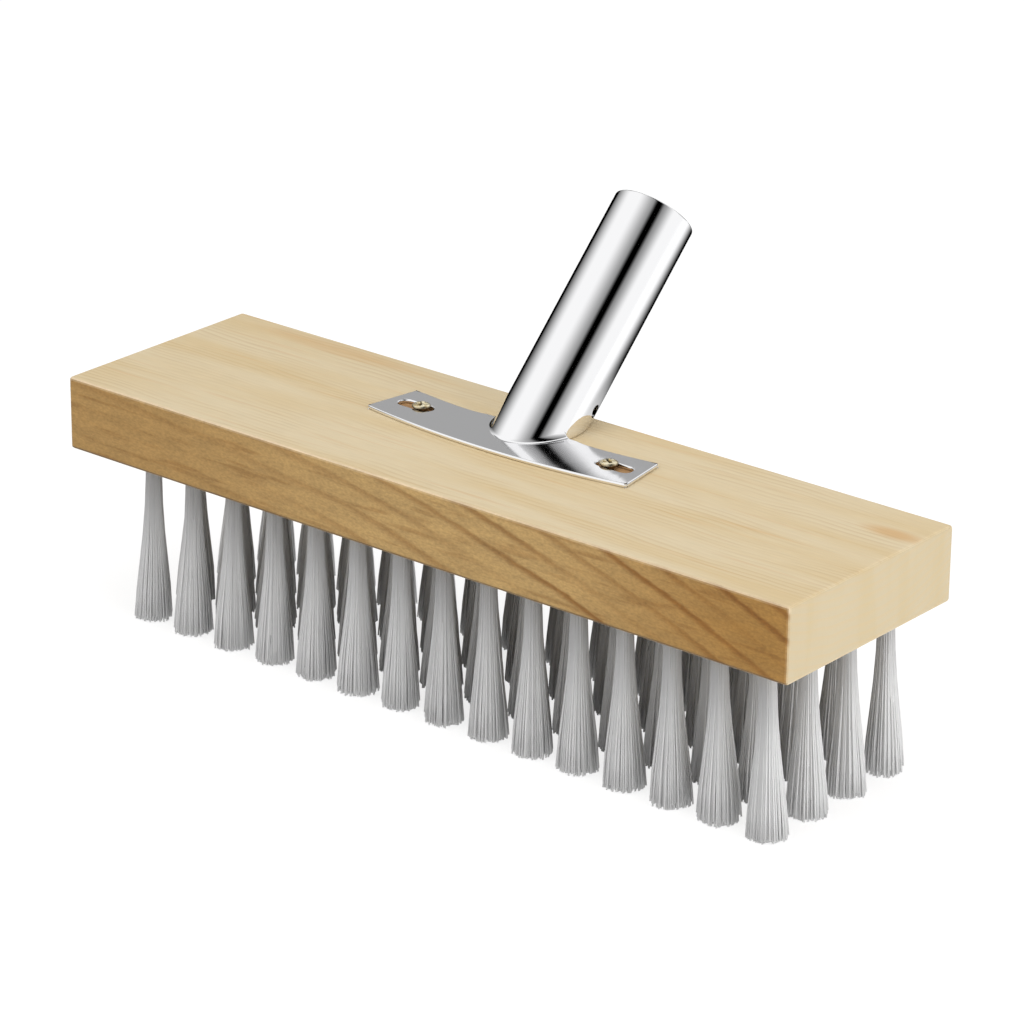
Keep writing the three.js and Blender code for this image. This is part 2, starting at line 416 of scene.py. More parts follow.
class NodeModel:
    """A Geometry Nodes tree with named inputs, which makes plain meshes."""

    def __init__(self, name: str, inputs: dict[InputKind, dict[str, Any]]) -> None:
        """Args:
            name: The tree's name.
            inputs: Values of the named inputs of each kind.
        """
        self.tree = bpy.data.node_groups.new(name, "GeometryNodeTree")
        sides = self.tree.interface
        sides.new_socket("Geometry", in_out="OUTPUT", socket_type=InputKind.GEOMETRY.value)
        sides.new_socket("Geometry", in_out="INPUT", socket_type=InputKind.GEOMETRY.value)
        self.values: dict[str, Any] = {}
        for kind, named in inputs.items():
            for label, value in named.items():
                item = sides.new_socket(label, in_out="INPUT", socket_type=kind.value)
                self.values[item.identifier] = value
        self.graph = Graph(self.tree)
        self.inputs = self.graph.add("NodeGroupInput")

    def __getitem__(self, label: str) -> Expr:
        """Named input of the tree."""
        return self.inputs[label]

    def random(self, low: float, high: float, number: Expr, draw: Draw) -> Expr:
        """Seeded random value for each numbered item.

        Args:
            low: Lowest value.
            high: Highest value.
            number: Number of the item.
            draw: Which of the draws this is.

        Returns:
            The value.
        """
        sockets = {"Min_001": low, "Max_001": high, "ID": number, "Seed": self["Seed"] + draw.value}
        return self.graph.add("FunctionNodeRandomValue", sockets, data_type="FLOAT")["Value_001"]

    def end(self, geometry: Expr) -> None:
        """Ends the tree in real geometry with its finish on it.

        Args:
            geometry: What the tree has made.
        """
        real = self.graph.add("GeometryNodeRealizeInstances", {"Geometry": geometry})[0]
        dressed = self.graph.add("GeometryNodeSetMaterial", {"Geometry": real, "Material": self["Finish"]})
        self.graph.add("NodeGroupOutput", {0: dressed[0]})

    def make(self, name: str, start: bpy.types.Mesh) -> bpy.types.Object:
        """Runs the tree once and keeps what it makes as a plain mesh.

        Args:
            name: The new object's name.
            start: Mesh that goes into the tree.

        Returns:
            The new object.
        """
        obj = new_object(name, start)
        modifier = obj.modifiers.new("make", "NODES")
        modifier.node_group = self.tree
        for identifier, value in self.values.items():
            modifier[identifier] = value
        settle(obj)
        return obj


@dataclass(frozen=True)
class Board:
    """Point of the block, in millimetres from the middle of its top, and how its face cuts the grain."""

    graph: Graph
    x: Expr
    y: Expr
    z: Expr
    side: Expr
    end: Expr
    top: Expr

    @classmethod
    def of(cls, graph: Graph) -> "Board":
        """Reads the point and the masks that the block's mesh holds.

        Args:
            graph: The wood's graph.

        Returns:
            The point with its masks.
        """
        x, y, z = graph.object_place()
        side = graph.attribute(Block.SIDE_MASK)
        end = graph.attribute(Block.END_MASK)
        top = (1 - side) * (1 - end)
        return cls(graph, x / MM, (y - BLOCK_TOP.y) / MM, (z - BLOCK_TOP.z) / MM, side, end, top)

    def lumps(self, lump: Xyz, detail: float = 2.0) -> Expr:
        """Smooth noise, by the length, width and height of its lumps."""
        return self.graph.lumps((self.x, self.y, self.z), lump, detail)

    def patch(self, middle: Pair, reach: Pair) -> Expr:
        """Soft oval patch, seen from above.

        Args:
            middle: Middle of the patch.
            reach: Half its length and half its width.

        Returns:
            Strength from nought to one.
        """
        along = (self.x - middle[0]) / reach[0]
        across = (self.y - middle[1]) / reach[1]
        return 1 - (along * along + across * across).sqrt().rise(0.2, 1.0)


@dataclass(frozen=True)
class PaleWood:
    """Planed pale wood: fine lines along the top, amber long sides with coarse slanting late wood.

    Lengths are in millimetres, and places are measured from the middle of the block's top.
    """

    cream: Rgb = (0.725, 0.605, 0.405)
    straw: Rgb = (0.690, 0.540, 0.315)
    end_cut: Rgb = (0.465, 0.392, 0.262)
    end_band: Rgb = (0.452, 0.360, 0.206)
    amber: Rgb = (0.462, 0.296, 0.113)
    umber: Rgb = (0.325, 0.169, 0.039)
    late_top: Rgb = (0.560, 0.390, 0.190)
    late_side: Rgb = (0.205, 0.080, 0.010)
    # edge highlight: painted highlight on the upper bevel of the long sides
    edge_highlight: Rgb = (0.840, 0.680, 0.485)
    # foot shade line: painted shade along the lower edge of the long sides, where they meet the tufts
    foot_shade_line: Rgb = (0.090, 0.050, 0.020)
    knot: Rgb = (0.640, 0.390, 0.170)
    # slot shade: painted shade on the wood seen through the socket's slots
    slot_shade: Rgb = (0.380, 0.210, 0.090)
    top_period: float = 2.1
    side_period: float = 7.6
    end_period: float = 2.7
    pith_x: float = -156.0
    ring_curve: float = 0.00071
    wobble_lump: Xyz = (75, 24, 24)
    fibre_lump: Xyz = (8, 0.4, 0.4)
    tone_lump: Xyz = (120, 13, 13)
    fade_lump: Xyz = (55, 11, 11)
    gold_lump: Xyz = (70, 2.5, 2.5)
    ragged_lump: Xyz = (9, 1.5, 1.5)
    flame_lump: Xyz = (26, 2.2, 2.2)
    speckle_lump: Xyz = (1.2, 0.6, 0.6)
    blotch_lump: Xyz = (14, 3, 3)
    ring_stride: float = 3.7
    ring_length: float = 90
    end_band_width: float = 9
    end_band_height: float = 60
    knots: tuple[tuple[Pair, Pair, float], ...] = (((131, 23), (15, 5), 0.75), ((-92, 34), (52, 6), 0.35))
    slot_x: float = 39
    slot_y: float = 9.5
    slot_reach: Pair = (13, 6)
    just_under_top: Pair = (-3, -1)
    just_above_foot: Pair = (-23.5, -22.8)
    left_dusk: Pair = (-110, 0)
    right_dusk: Pair = (40, 135)
    late_fade: Pair = (-60, 100)
    # where the painted edge highlight weakens along the block
    highlight_fade: Pair = (-60, 110)
    bump_depth: float = 0.2 * MM

    def material(self) -> bpy.types.Material:
        """Makes the wood's material.

        Returns:
            The material.
        """
        material, graph = new_material("pale_wood")
        board = Board.of(graph)
        colour = self.early_wood(board)
        colour = self.with_late_wood(board, colour)
        colour = self.with_edge_highlight_and_shade(board, colour)
        fibre = board.lumps(self.fibre_lump)
        speckle = board.lumps(self.speckle_lump, 3.0) - 0.5
        blotch = board.lumps(self.blotch_lump) - 0.5
        along = (fibre - 0.5) * (1 - board.end * 0.7) * 0.2
        streak = along + (speckle * 0.7 + blotch * 0.4) * board.side + 1
        bump = graph.add("ShaderNodeBump", {"Strength": 0.25, "Distance": self.bump_depth, "Height": fibre})
        graph.surface({
            "Base Color": graph.mix(1.0, colour, graph.vector(streak, streak, streak), "MULTIPLY"),
            "Roughness": fibre * 0.16 + 0.5,
            "Specular IOR Level": 0.3,
            "Normal": bump["Normal"],
        })
        return material

    def early_wood(self, board: Board) -> Expr:
        """Ground colour of each face, with the knots and painted shade on the wood seen through the slots.

        Args:
            board: The point of the block.

        Returns:
            The colour.
        """
        graph, x = board.graph, board.x
        tone = board.lumps(self.tone_lump, 3.0)
        colour = graph.mix(tone.rise(0.35, 0.68), self.cream, self.straw)
        for middle, reach, share in self.knots:
            colour = graph.mix(board.patch(middle, reach) * board.top * share, colour, self.knot)
        gold = board.lumps(self.gold_lump).rise(0.56, 0.75) * board.top
        colour = graph.mix(gold * 0.35, colour, self.knot)
        dusk = x.rise(*self.right_dusk) + (1 - x.rise(*self.left_dusk)) * 0.5
        long_side = graph.mix(dusk * (tone * 0.5 + 0.75), self.amber, self.umber)
        colour = graph.mix(board.side, colour, long_side)
        band = graph.noise((0.0, board.y / self.end_band_width, board.z / self.end_band_height))
        end_grain = graph.mix(band.rise(0.4, 0.65) * 0.5, self.end_cut, self.end_band)
        colour = graph.mix(board.end * 0.9, colour, end_grain)
        # Painted shade on the top where the slots leave the wood showing.
        for way in (-1, 1):
            slot = board.patch((way * self.slot_x, self.slot_y), self.slot_reach).rise(0.1, 0.5)
            slot_shaded = slot * board.top * board.z.rise(*self.just_under_top)
            colour = graph.mix(slot_shaded, colour, self.slot_shade)
        return colour

    def with_late_wood(self, board: Board, colour: Expr) -> Expr:
        """Adds the dark lines of the growth rings.

        Args:
            board: The point of the block.
            colour: Colour before them.

        Returns:
            Colour with them.
        """
        graph, x, y, z = board.graph, board.x, board.y, board.z
        wobble = board.lumps(self.wobble_lump) * 2 - 1
        fade = board.lumps(self.fade_lump).rise(0.38, 0.66)
        top_late = self.ring_line(y + z * 0.3 + wobble * 5, self.top_period, 0.35, 0.9) * fade * 0.4
        end_late = self.ring_line(z - y * y * 0.004 + wobble * 2, self.end_period, 0.3, 0.9) * 0.22
        colour = graph.mix(top_late * board.top + end_late * board.end, colour, self.late_top)

        slant = x - self.pith_x
        ragged = board.lumps(self.ragged_lump, 3.0) - 0.5
        rings = z + slant * slant * self.ring_curve + wobble * 3 + ragged * 1.6
        number = (rings / self.side_period).floor()
        weight = graph.noise((number * self.ring_stride, x / self.ring_length, 0.0), 0.0)
        weight = weight.rise(0.35, 0.6) * 0.8 + 0.2
        side_late = self.ring_line(rings, self.side_period, 0.52, 0.82) * weight
        side_late = side_late * (x.rise(*self.late_fade) * 0.62 + 0.28)
        flame = board.lumps(self.flame_lump).rise(0.52, 0.72) * 0.4
        return graph.mix(side_late.at_least(flame) * board.side, colour, self.late_side)

    def with_edge_highlight_and_shade(self, board: Board, colour: Expr) -> Expr:
        """Adds a painted highlight along the upper edge and a painted shade line along the lower edge of the
        long sides.

        Args:
            board: The point of the block.
            colour: Colour before them.

        Returns:
            Colour with them.
        """
        graph, side, z = board.graph, board.side, board.z
        # Painted highlight on the upper bevel of the long sides, weaker towards the right end.
        rounding = side * (1 - side) * z.rise(*self.just_under_top)
        colour = graph.mix(rounding * (2.6 - board.x.rise(*self.highlight_fade)), colour, self.edge_highlight)
        # Painted shade line along the bottom edge of the long sides.
        return graph.mix((1 - z.rise(*self.just_above_foot)) * side, colour, self.foot_shade_line)

    @staticmethod
    def ring_line(rings: Expr, period: float, start: float, crest: float) -> Expr:
        """Dark part of each growth ring: it darkens slowly and ends at once.

        Args:
            rings: Distance across the rings.
            period: Distance from ring to ring.
            start: Share of a ring at which it begins to darken.
            crest: Share at which it is darkest.

        Returns:
            Darkness from nought to one.
        """
        share = (rings / period).fract()
        return share.rise(start, crest) * (1 - share.rise(crest + 0.02, 1.0))


@dataclass(frozen=True)
class GreyFilament:
    """Stiff grey plastic filament, a little lighter or darker from one to the next, with painted shade near
    the root under the block.
    """

    light: Rgb = (0.94, 0.94, 0.94)
    dark: Rgb = (0.87, 0.87, 0.87)
    # root: painted shade near the root of each tuft, under the block's overhang
    root: Rgb = (0.48, 0.48, 0.49)
    glow: Rgb = (0.88, 0.88, 0.88)
    root_height: float = 0.0545
    root_fade: float = 0.032
    root_shade_share: float = 0.8
    roughness: float = 0.42
    roughness_range: float = 0.12
    clear: float = 0.40

    def material(self) -> bpy.types.Material:
        """Makes the filament's material.

        Returns:
            The material.
        """
        material, graph = new_material("grey_filament")
        tone = graph.attribute(BristleRow.TONE)
        height = graph.object_place()[2]
        # Painted shade: darker towards the root, where the block overhangs the tufts.
        root_shade_mask = height.rise(self.root_height - self.root_fade, self.root_height)
        colour = graph.mix(root_shade_mask * self.root_shade_share, graph.mix(tone, self.dark, self.light), self.root)
        outside = graph.add("ShaderNodeBsdfPrincipled", {
            "Base Color": colour,
            "Roughness": tone * self.roughness_range + self.roughness,
        })
        through = graph.add("ShaderNodeBsdfTranslucent", {"Color": (*self.glow, 1.0)})
        graph.end_mixed(self.clear, outside[0], through[0])
        return material


@dataclass(frozen=True)
class BrightPlate:
    """Bright plated sheet steel, mirror smooth apart from faint handling marks."""

    tint: Rgb = (0.93, 0.93, 0.94)
    roughness: float = 0.045
    mark_dulling: float = 0.03
    mark_lump: Xyz = (0.012, 0.012, 0.012)
    plate_dulling: float = 0.04
    flat_height: float = 0.002

    def material(self) -> bpy.types.Material:
        """Makes the plating's material.

        Returns:
            The material.
        """
        material, graph = new_material("bright_plate")
        place = graph.object_place()
        marks = graph.lumps(place, self.mark_lump, 4.0).rise(0.45, 0.75)
        plate_top = BLOCK_TOP.z + self.flat_height
        on_plate = 1 - place[2].rise(plate_top, plate_top + self.flat_height)
        graph.surface({
            "Base Color": (*self.tint, 1.0),
            "Metallic": 1.0,
            "Roughness": marks * self.mark_dulling + on_plate * self.plate_dulling + self.roughness,
        })
        return material


@dataclass(frozen=True)
class YellowPlate:
    """Yellow plated steel of the screws, with painted shade low on the head and in the recess."""

    light: Rgb = (0.95, 0.87, 0.64)
    dark: Rgb = (0.66, 0.50, 0.24)
    # low shade: painted shade under the head's rim and in the recess
    low_shade: Rgb = (0.10, 0.06, 0.03)
    low_shade_share: float = 0.85
    shade_low: float = 0.0017
    shade_high: float = 0.0023
    stain_lump: Xyz = (0.0015, 0.0015, 0.0015)
    roughness: float = 0.2
    stain_dulling: float = 0.15

    def material(self) -> bpy.types.Material:
        """Makes the screws' material.

        Returns:
            The material.
        """
        material, graph = new_material("yellow_plate")
        place = graph.object_place()
        stain = graph.lumps(place, self.stain_lump, 3.0)
        # Painted shade low on the screw: under the head's rim, on the shank and at the recess floor.
        unshaded = place[2].rise(BLOCK_TOP.z + self.shade_low, BLOCK_TOP.z + self.shade_high)
        colour = graph.mix(stain.rise(0.4, 0.7), self.light, self.dark)
        graph.surface({
            "Base Color": graph.mix((1 - unshaded) * self.low_shade_share, colour, self.low_shade),
            "Metallic": 1.0,
            "Roughness": stain * self.stain_dulling + self.roughness,
        })
        return material


@dataclass
class TuftField:
    """Grid in which the tufts stand, and the form of one tuft."""

    columns: int = 15
    rows: int = 4
    column_pitch: float = 0.0171
    row_pitch: float = 0.0193
    shift: float = 0.0055
    end_lean: float = math.radians(1.6)
    root_radius: float = 0.0024
    tip_radius: float = 0.0058
    flare_start: float = 1.5
    flare_full: float = 0.98
    splay: float = 0.0005
    splay_start: float = 0.7
    filaments: int = 340
    crowding: float = 0.36
    filament_radius: float = 0.00033
    root_thickness: float = 0.6
    inner_swell: float = 1.2
    filament_sides: int = 3
    stations: int = 7
    root_depth: float = 0.003
    uneven: float = 0.0024
    wander: float = 0.00035
    tuft_sizes: Pair = (0.95, 1.05)
    reaches: Pair = (0.95, 1.03)
    shell: Pair = (0.80, 0.95)
    tip_part: Pair = (0.80, 1.0)
    tip_thinning: float = 0.3
    tip_lift: float = 0.3
    seed_step: int = 101

    def row_y(self, row: int) -> float:
        """Place of a row across the block."""
        return BLOCK_TOP.y + (row - (self.rows - 1) / 2) * self.row_pitch


@dataclass
class Block:
    """Wooden block with eased edges, drilled below for the tufts."""

    SIDE_MASK = "long_side"
    END_MASK = "end_grain"

    tufts: TuftField
    edge: float = 0.0010
    edge_steps: int = 3
    hole_diameter: float = 0.0060
    hole_depth: float = 0.011
    hole_sides: int = 20

    def build(self) -> bpy.types.Object:
        """Makes the block.

        Returns:
            The block's object.
        """
        tufts = self.tufts
        drill = NodeModel("drilled_block", {
            InputKind.COUNT: {"Columns": tufts.columns, "Rows": tufts.rows},
            InputKind.SIZE: {
                "Field Length": (tufts.columns - 1) * tufts.column_pitch,
                "Field Width": (tufts.rows - 1) * tufts.row_pitch,
                "Hole Diameter": self.hole_diameter,
                "Hole Depth": self.hole_depth,
            },
            InputKind.PLACE: {"Field Middle": (tufts.shift, BLOCK_TOP.y, BLOCK_LOW.z)},
            InputKind.FINISH: {"Finish": PaleWood().material()},
        })
        graph = drill.graph
        grid = graph.add("GeometryNodeMeshGrid", {
            "Size X": drill["Field Length"],
            "Size Y": drill["Field Width"],
            "Vertices X": drill["Columns"],
            "Vertices Y": drill["Rows"],
        })[0]
        moved = {"Geometry": grid, "Translation": drill["Field Middle"]}
        placed = graph.add("GeometryNodeTransform", moved)[0]
        bit = graph.add("GeometryNodeMeshCylinder", {
            "Vertices": self.hole_sides,
            "Radius": drill["Hole Diameter"] / 2,
            "Depth": drill["Hole Depth"] * 2,
        })[0]
        bits = graph.add("GeometryNodeInstanceOnPoints", {"Points": placed, "Instance": bit})[0]
        real_bits = graph.add("GeometryNodeRealizeInstances", {"Geometry": bits})[0]
        meshes = {"Mesh 1": drill["Geometry"], "Mesh 2": real_bits}
        drill.end(graph.add("GeometryNodeMeshBoolean", meshes, operation="DIFFERENCE", solver="EXACT")[0])
        obj = drill.make("wooden_block", self.blank())
        self.mark_cuts(obj.data)
        return obj

    def blank(self) -> bpy.types.Mesh:
        """Makes the block before it is drilled.

        Returns:
            Its mesh.
        """
        bm = bmesh.new()
        size = BLOCK_HIGH - BLOCK_LOW
        middle = (BLOCK_HIGH + BLOCK_LOW) / 2
        matrix = Matrix.Translation(middle) @ Matrix.Diagonal((*size, 1.0))
        bmesh.ops.create_cube(bm, size=1.0, matrix=matrix)
        bmesh.ops.bevel(bm, geom=bm.edges[:], offset=self.edge, segments=self.edge_steps, profile=0.5,
                        affect="EDGES")
        return mesh_of(bm, "block_blank")

    def mark_cuts(self, mesh: bpy.types.Mesh) -> None:
        """Marks which way each face cuts the grain.

        Args:
            mesh: The block's mesh.
        """
        for name, axis in ((self.SIDE_MASK, 1), (self.END_MASK, 0)):
            mask = mesh.attributes.new(name, "FLOAT", "FACE")
            for polygon in mesh.polygons:
                mask.data[polygon.index].value = polygon.normal[axis] ** 2


@dataclass
class BristleRow:
    """One row of tufts, each a bundle of filaments that flares towards its tip."""

    TONE = "filament_tone"

    tufts: TuftField
    row: int
    finish: bpy.types.Material

    def build(self) -> bpy.types.Object:
        """Makes the row's filaments.

        Returns:
            The row's object.
        """
        tufts = self.tufts
        model = NodeModel(f"tufts_of_row_{self.row + 1}", {
            InputKind.COUNT: {
                "Columns": tufts.columns,
                "Filaments": tufts.filaments,
                "Seed": tufts.seed_step * (self.row + 1),
            },
            InputKind.SIZE: {
                "Column Pitch": tufts.column_pitch,
                "Row Middle": tufts.shift,
                "Row Y": tufts.row_y(self.row),
                "Root Height": BLOCK_LOW.z + tufts.root_depth,
                "End Lean": math.tan(tufts.end_lean),
                "Root Radius": tufts.root_radius,
                "Tip Radius": tufts.tip_radius,
                "Flare Start": tufts.flare_start,
                "Flare Full": tufts.flare_full ** tufts.flare_start,
                "Splay": tufts.splay,
                "Splay Start": tufts.splay_start,
                "Crowding": tufts.crowding,
                "Filament Radius": tufts.filament_radius,
                "Root Thickness": tufts.root_thickness,
                "Inner Swell": tufts.inner_swell,
                "Uneven": tufts.uneven,
                "Wander": tufts.wander,
            },
            InputKind.FINISH: {"Finish": self.finish},
        })
        graph = model.graph
        lines = graph.add("GeometryNodeSetPosition", {
            "Geometry": self.straight_lines(model),
            "Position": self.path(model),
        })[0]
        number = graph.add("GeometryNodeCurveOfPoint")["Curve Index"]
        tone = {"Geometry": lines, "Name": self.TONE, "Value": model.random(0.0, 1.0, number, Draw.TONE)}
        toned = graph.add("GeometryNodeStoreNamedAttribute", tone, data_type="FLOAT", domain="POINT")[0]
        profile = graph.add("GeometryNodeCurvePrimitiveCircle", {
            "Resolution": tufts.filament_sides,
            "Radius": model["Filament Radius"],
        })[0]
        tubes = graph.add("GeometryNodeCurveToMesh", {
            "Curve": toned,
            "Profile Curve": profile,
            "Scale": self.thickness(model),
            "Fill Caps": True,
        })[0]
        for domain in ("EDGE", "FACE"):
            smooth = {0: tubes, "Shade Smooth": True}
            tubes = graph.add("GeometryNodeSetShadeSmooth", smooth, domain=domain)[0]
        model.end(tubes)
        return model.make(f"bristles_{self.row + 1}", bpy.data.meshes.new("no_start"))

    def straight_lines(self, model: NodeModel) -> Expr:
        """Lines that become the filaments.

        Args:
            model: The row's tree.

        Returns:
            One line for each filament of the row.
        """
        graph = model.graph
        points = graph.add("GeometryNodePoints", {"Count": model["Columns"] * model["Filaments"]})[0]
        line = graph.add("GeometryNodeCurvePrimitiveLine", {"Start": (0, 0, 1), "End": (0, 0, 0)})[0]
        stepped = graph.add("GeometryNodeResampleCurve", {"Curve": line, "Count": self.tufts.stations})[0]
        copies = graph.add("GeometryNodeInstanceOnPoints", {"Points": points, "Instance": stepped})[0]
        return graph.add("GeometryNodeRealizeInstances", {"Geometry": copies})[0]

    def thickness(self, model: NodeModel) -> Expr:
        """Thickness of each filament along its length: thin at the root, and thick inside the tuft.

        Args:
            model: The row's tree.

        Returns:
            The thickness, as a share of the filament's own.
        """
        down = model.graph.add("GeometryNodeSplineParameter")["Factor"]
        inside = 1 - self.share(model).rise(*self.tufts.shell)
        inside = inside * (1 - down.rise(*self.tufts.tip_part) * self.tufts.tip_thinning)
        swell = 1 + inside * model["Inner Swell"]
        return (down * (1 - model["Root Thickness"]) + model["Root Thickness"]) * swell

    @staticmethod
    def share(model: NodeModel) -> Expr:
        """Distance of each filament from its tuft's middle, as a share of the tuft's radius.

        Args:
            model: The row's tree.

        Returns:
            The share, with the outside more crowded than the inside.
        """
        number = model.graph.add("GeometryNodeCurveOfPoint")["Curve Index"]
        strand = number - (number / model["Filaments"]).floor() * model["Filaments"]
        return ((strand + 0.5) / model["Filaments"]) ** model["Crowding"]

    def path(self, model: NodeModel) -> Expr:
        """Place of each point of each filament.

        Args:
            model: The row's tree.

        Returns:
            The places.
        """
        graph = model.graph
        number = graph.add("GeometryNodeCurveOfPoint")["Curve Index"]
        down = graph.add("GeometryNodeSplineParameter")["Factor"]
        tuft = (number / model["Filaments"]).floor()
        strand = number - tuft * model["Filaments"]
        turn = strand * GOLDEN_ANGLE + model.random(0.0, math.tau, tuft, Draw.TURN)
        middle = (model["Columns"] - 1) / 2

        flare = (down ** model["Flare Start"]).rise(0.0, model["Flare Full"])
        end_part = (down - model["Splay Start"]).at_least(0.0) / (1 - model["Splay Start"])
        splay = end_part * end_part * model["Splay"] * model.random(0.0, 1.0, number, Draw.SPLAY)
        tip = model["Tip Radius"] * model.random(*self.tufts.tuft_sizes, tuft, Draw.TUFT_SIZE)
        tip = tip * model.random(*self.tufts.reaches, number, Draw.REACH)
        reach = self.share(model) * (model["Root Radius"] * (1 - flare) + tip * flare + splay)
        stray = down * down * model["Wander"]
        stray_along = stray * model.random(-1.0, 1.0, number, Draw.STRAY_ALONG)
        stray_across = stray * model.random(-1.0, 1.0, number, Draw.STRAY_ACROSS)
        root_z = model["Root Height"]
        short = model.random(0.0, 1.0, number, Draw.SHORTNESS)
        tip_z = short * short * model["Uneven"] + model["Filament Radius"] * self.tufts.tip_lift
        lean = (tuft - middle) / middle * model["End Lean"] * root_z
        tuft_x = model["Row Middle"] + (tuft - middle) * model["Column Pitch"]
        x = tuft_x + reach * turn.cos() + lean * down + stray_along
        y = model["Row Y"] + reach * turn.sin() + stray_across
        z = root_z * (1 - down) + tip_z * down
        return graph.vector(x, y, z)


@dataclass
class HandleSocket:
    """One pressed sheet: a tube that leans back and folds out at its foot into a slotted plate."""

    sheet: float = 0.0013
    bore: float = 0.024
    lean: float = math.radians(45)
    tube_length: float = 0.0782
    foot_y: float = 0.0217
    fold_radius: float = 0.0025
    pin_hole_diameter: float = 0.0044
    pin_hole_along: float = 0.012
    pin_hole_turn: float = math.radians(-20.5)
    pin_hole_sides: int = 24
    plate_length: float = 0.1016
    plate_reach: float = 0.0261
    front_bow: float = 0.0045
    ear_depth: float = 0.020
    ear_taper: float = 0.0032
    throat_reach: float = 0.0032
    throat_margin: float = 0.0019
    throat_bend_length: float = 0.0054
    throat_bend_depth: float = 0.002
    corner: float = 0.0010
    corner_steps: int = 4
    slot_length: float = 0.013
    slot_width: float = 0.005
    slot_end_margin: float = 0.0053
    slot_front_margin: float = 0.0069
    screw_from_slot_end: float = 0.0043
    rim: float = 0.0005
    rim_steps: int = 3
    rim_angle: float = math.radians(50)
    front_columns: int = 72
    rear_columns: int = 72
    tube_steps: int = 24
    fold_steps: int = 10
    curve_steps: int = 28

    @property
    def radius(self) -> float:
        """Radius of the tube outside."""
        return self.bore / 2 + self.sheet

    @property
    def ear_front_y(self) -> float:
        """Front corners of the ears, from the block's middle."""
        return self.foot_y - self.plate_reach + self.front_bow

    @property
    def throat_y(self) -> float:
        """Back edge of the plate beside the tube, from the block's middle."""
        return self.foot_y - self.throat_reach

    @property
    def slot_x(self) -> float:
        """Middle of the right slot along the block."""
        return (self.plate_length - self.slot_length) / 2 - self.slot_end_margin

    @property
    def slot_y(self) -> float:
        """Middle line of the slots, from the block's middle."""
        return self.ear_front_y + self.slot_front_margin + self.slot_width / 2

    @property
    def screw_x(self) -> float:
        """Right screw's place along the block, near the inner end of its slot."""
        return self.slot_x - self.slot_length / 2 + self.screw_from_slot_end

    def on_tube(self, along: float, radius: float, angle: float) -> Vector:
        """Point of the tube.

        Args:
            along: Distance along its axis from the block's top.
            radius: Distance from the axis.
            angle: Angle from +X towards the tube's front.

        Returns:
            The point, from the middle of the block's top.
        """
        axis = Vector((0.0, math.sin(self.lean), math.cos(self.lean)))
        front = Vector((0.0, -math.cos(self.lean), math.sin(self.lean)))
        across = Vector((math.cos(angle), 0.0, 0.0)) + front * math.sin(angle)
        return Vector((0.0, self.foot_y, 0.0)) + axis * along + across * radius

    def along_at(self, height: float, radius: float, angle: float) -> float:
        """Distance along the tube at which a line on it is at a height.

        Args:
            height: Height above the block's top.
            radius: The line's distance from the axis.
            angle: The line's angle.

        Returns:
            The distance along the axis.
        """
        return (height - radius * math.sin(angle) * math.sin(self.lean)) / math.cos(self.lean)

    def ball(self, angle: float) -> Vector:
        """Middle of the ball that rolls round the tube's foot and leaves the fold."""
        reach = self.radius + self.fold_radius
        return self.on_tube(self.along_at(self.sheet + self.fold_radius, reach, angle), reach, angle)

    def build(self) -> bpy.types.Object:
        """Makes the socket: its outer skin, the sheet's thickness with rounded rims, and the pin hole.

        Returns:
            The socket's object.
        """
        bm = bmesh.new()
        self.add_plate(bm, self.add_tube_and_fold(bm))
        bmesh.ops.recalc_face_normals(bm, faces=bm.faces)
        flattest = max(bm.faces, key=lambda face: abs(face.normal.z))
        if flattest.normal.z < 0:
            bmesh.ops.reverse_faces(bm, faces=bm.faces)
        for face in bm.faces:
            face.smooth = True
        bm.transform(Matrix.Translation(BLOCK_TOP))
        obj = new_object("pressed_socket", mesh_of(bm, "socket_skin"))
        obj.data.materials.append(BrightPlate().material())

        wall = obj.modifiers.new("sheet", "SOLIDIFY")
        wall.thickness = self.sheet
        wall.offset = -1.0
        wall.use_even_offset = True
        rims = obj.modifiers.new("rims", "BEVEL")
        rims.width = self.rim
        rims.segments = self.rim_steps
        rims.use_clamp_overlap = False
        rims.limit_method = "ANGLE"
        rims.angle_limit = self.rim_angle
        settle(obj)
        cut_by(obj, self.pin_cutter())
        flats = obj.modifiers.new("flats", "WEIGHTED_NORMAL")
        flats.keep_sharp = True
        settle(obj)
        return obj

    def add_tube_and_fold(self, bm: bmesh.types.BMesh) -> list[bmesh.types.BMVert]:
        """Adds the tube's skin and the fold at its front.

        Args:
            bm: Where the skin is made.

        Returns:
            The points where the fold meets the plate, from +X to -X.
        """
        side_y = self.ball(0.0).y
        end_angle = math.asin((side_y - self.throat_y) / (side_y - self.ball(math.pi / 2).y))
        fan = math.pi - 2 * end_angle
        angles = [end_angle + fan * i / self.front_columns for i in range(self.front_columns + 1)]
        rear = math.tau - fan
        angles += [math.pi - end_angle + rear * i / self.rear_columns for i in range(1, self.rear_columns)]
        reach = self.radius + self.fold_radius
        tube = []
        for angle in angles:
            waist = self.along_at(self.sheet + self.fold_radius, reach, angle)
            fall = (waist - self.tube_length) / self.tube_steps
            line = [self.on_tube(self.tube_length + fall * step, self.radius, angle)
                    for step in range(self.tube_steps + 1)]
            tube.append([bm.verts.new(point) for point in line])
        add_strips(bm, tube + tube[:1])

        fold = []
        for i in range(self.front_columns + 1):
            fold.append([tube[i][-1], *(bm.verts.new(point) for point in self.fold_arc(angles[i]))])
        add_strips(bm, fold)

        skirt = []
        for i in (*range(self.front_columns, len(angles)), 0):
            foot = self.on_tube(self.along_at(0.0, self.radius, angles[i]), self.radius, angles[i])
            skirt.append([tube[i][-1], bm.verts.new(foot)])
        add_strips(bm, skirt)
        return [column[-1] for column in fold]

